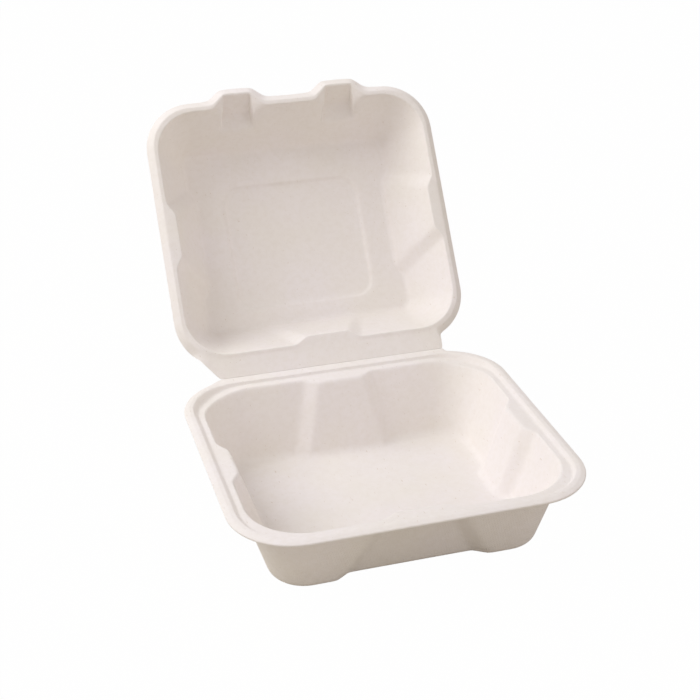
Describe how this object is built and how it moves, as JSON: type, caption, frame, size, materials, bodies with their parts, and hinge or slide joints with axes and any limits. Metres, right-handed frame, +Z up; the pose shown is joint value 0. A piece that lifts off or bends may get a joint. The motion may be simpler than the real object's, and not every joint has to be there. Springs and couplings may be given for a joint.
{
  "type": "bagasse clamshell container",
  "caption": "Open hinged takeaway food box of white moulded plant fibre, with a drafted base tray and a lid that folds over it.",
  "frame": {"origin": "middle of the underside of the base tray, on the table plane", "axes": "+X along the fold to the right seen from the front, +Y from the front to the fold, +Z up"},
  "size_m": [0.15, 0.2247, 0.1459],
  "materials": {
    "moulded_fibre": "matte off-white pressed plant fibre with a fine mottle"
  },
  "bodies": {
    "base": {"base": "moulded_fibre"},
    "lid": {"lid": "moulded_fibre"}
  },
  "joints": [
    {"name": "fold", "type": "hinge", "parent": "base", "child": "lid", "pos_m": [0, 0.06885, 0.03515], "axis": [1, 0, 0], "range_deg": [-54.8, 125.2]}
  ]
}
